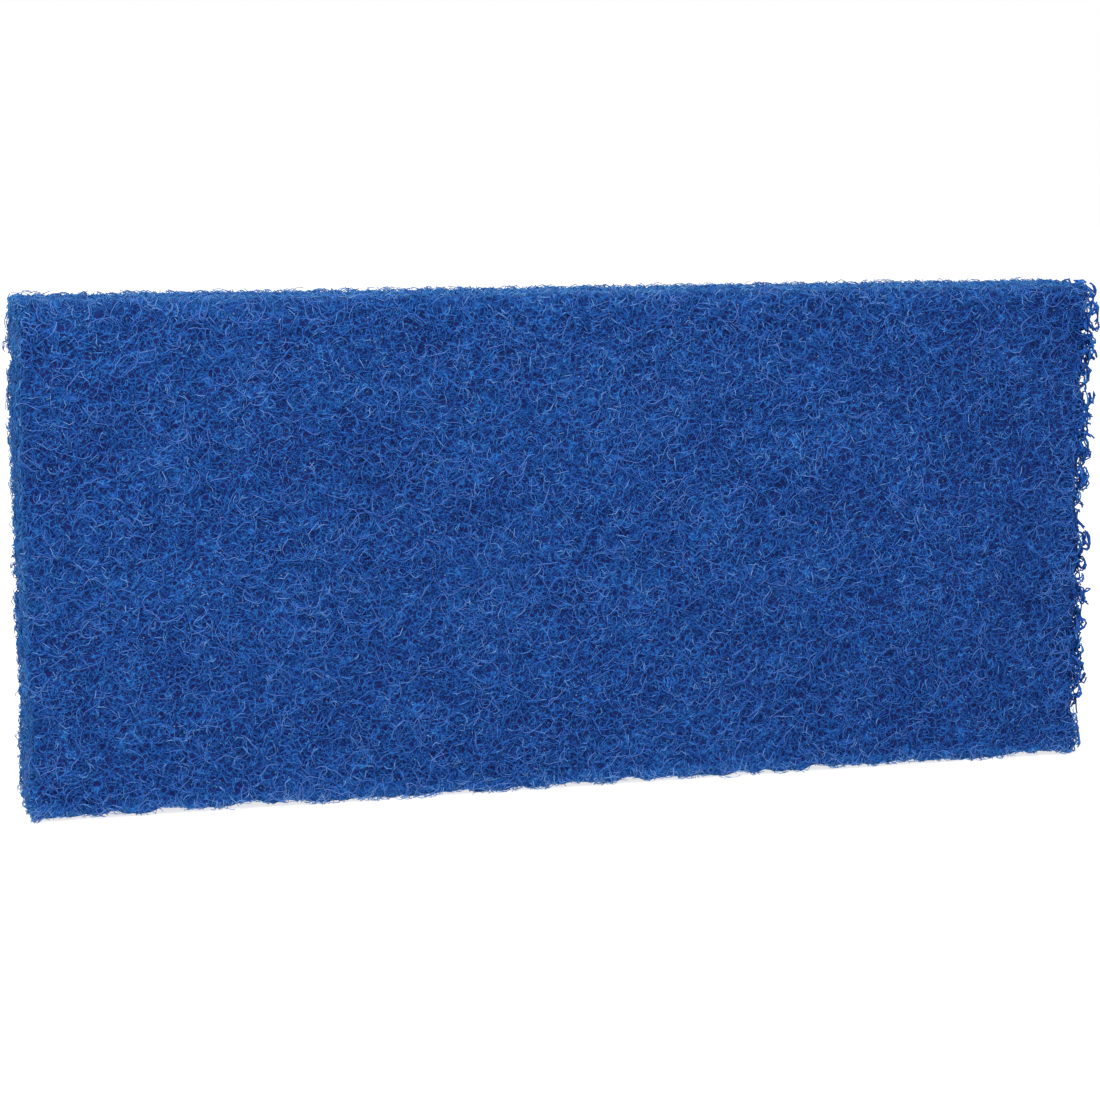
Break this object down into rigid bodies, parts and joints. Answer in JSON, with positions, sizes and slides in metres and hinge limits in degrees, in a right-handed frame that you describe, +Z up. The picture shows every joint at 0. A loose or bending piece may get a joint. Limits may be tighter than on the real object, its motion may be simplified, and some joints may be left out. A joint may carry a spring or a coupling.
{
  "type": "scrub pad",
  "caption": "Rectangular scrub pad of lofty non-woven nylon web with rough-cut, open ends, for scouring by hand or in a pad holder",
  "frame": {"origin": "middle of the long edge that the pad stands on, at the bottom centre of its box", "axes": "+X along the length towards the more open end, +Y through the thickness away from the scrubbing face, +Z up"},
  "size_m": [0.254, 0.0254, 0.1143],
  "materials": {
    "web": "dull blue crimped nylon fibres, bonded where they cross"
  },
  "bodies": {
    "root": {"scrub_pad": "web"}
  },
  "joints": []
}
